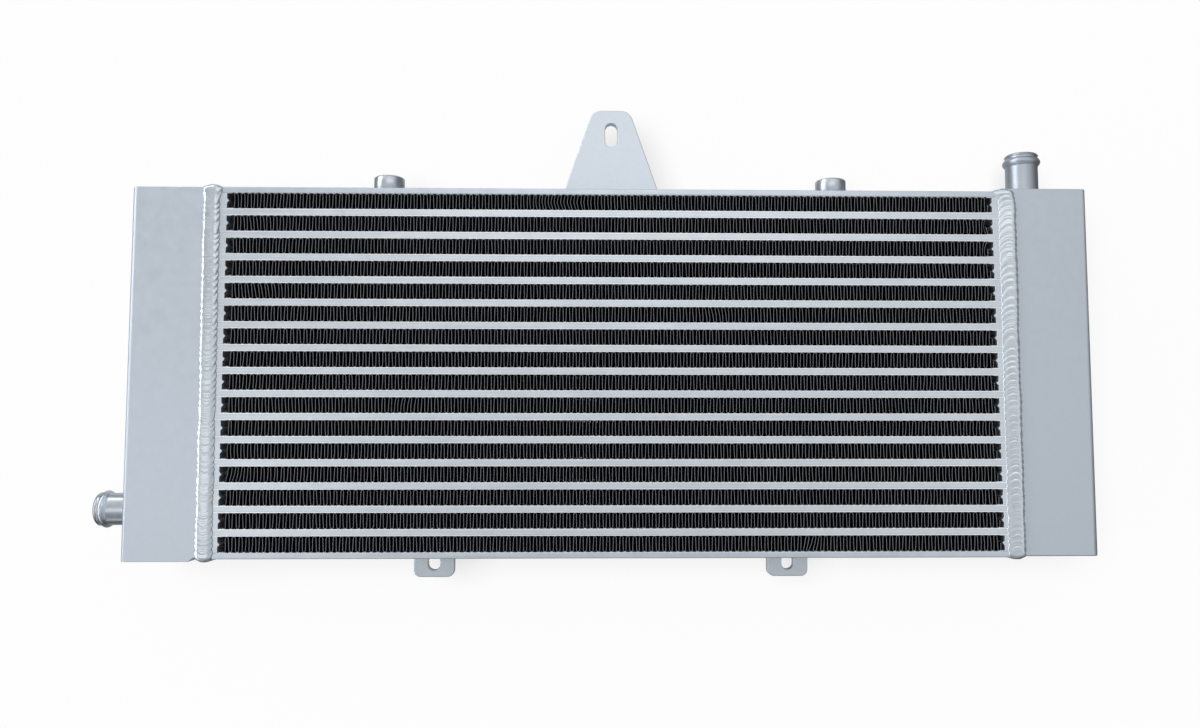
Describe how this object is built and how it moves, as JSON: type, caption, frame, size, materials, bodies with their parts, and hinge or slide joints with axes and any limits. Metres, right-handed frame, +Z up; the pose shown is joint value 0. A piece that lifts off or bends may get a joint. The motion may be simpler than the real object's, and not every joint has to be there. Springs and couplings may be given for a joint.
{
  "type": "heat exchanger",
  "caption": "Bar-and-plate water-to-air heat exchanger with a brazed fin core, welded side tanks, beaded hose ports, threaded bosses and slotted mounts.",
  "frame": {"origin": "halfway between the slots of the two lower tabs, in the middle of the core's depth", "axes": "+X to the right along the core's length as the picture shows it, +Y from the front face to the back, +Z up towards the top bracket"},
  "size_m": [0.5855, 0.06, 0.2833],
  "materials": {
    "core_bars": "brazed, satin, with fine drawn lines",
    "fins": "thin brazed sheet, dark in its own shadow",
    "tank_skin": "matt, faintly mottled",
    "weld_bead": "bright as-welded ripples",
    "hose_port": "turned, satin",
    "mount_plate": "matt sheet with brushed edges",
    "boss": "turned, satin",
    "turbulator": "thin brazed sheet"
  },
  "bodies": {
    "root": {"fin_row_01": "fins", "fin_row_02": "fins", "fin_row_03": "fins", "fin_row_04": "fins", "fin_row_05": "fins", "fin_row_06": "fins", "fin_row_07": "fins", "fin_row_08": "fins", "fin_row_09": "fins", "fin_row_10": "fins", "fin_row_11": "fins", "fin_row_12": "fins", "fin_row_13": "fins", "fin_row_14": "fins", "fin_row_15": "fins", "fin_row_16": "fins", "water_bars_01": "core_bars", "water_bars_02": "core_bars", "water_bars_03": "core_bars", "water_bars_04": "core_bars", "water_bars_05": "core_bars", "water_bars_06": "core_bars", "water_bars_07": "core_bars", "water_bars_08": "core_bars", "water_bars_09": "core_bars", "water_bars_10": "core_bars", "water_bars_11": "core_bars", "water_bars_12": "core_bars", "water_bars_13": "core_bars", "water_bars_14": "core_bars", "water_bars_15": "core_bars", "parting_sheets": "core_bars", "air_bars_left": "core_bars", "air_bars_right": "core_bars", "bottom_end_plate": "core_bars", "top_end_plate": "core_bars", "turbulators": "turbulator", "left_tank_shell": "tank_skin", "left_tank_top_cap": "tank_skin", "left_tank_bottom_cap": "tank_skin", "left_core_weld": "weld_bead", "left_boss": "boss", "left_boss_weld": "weld_bead", "left_lower_tab": "mount_plate", "left_tab_weld": "weld_bead", "right_tank_shell": "tank_skin", "right_tank_top_cap": "tank_skin", "right_tank_bottom_cap": "tank_skin", "right_core_weld": "weld_bead", "right_boss": "boss", "right_boss_weld": "weld_bead", "right_lower_tab": "mount_plate", "right_tab_weld": "weld_bead", "upper_hose_port": "hose_port", "upper_port_weld": "weld_bead", "lower_hose_port": "hose_port", "lower_port_weld": "weld_bead", "upper_bracket": "mount_plate", "bracket_weld": "weld_bead"}
  },
  "joints": []
}
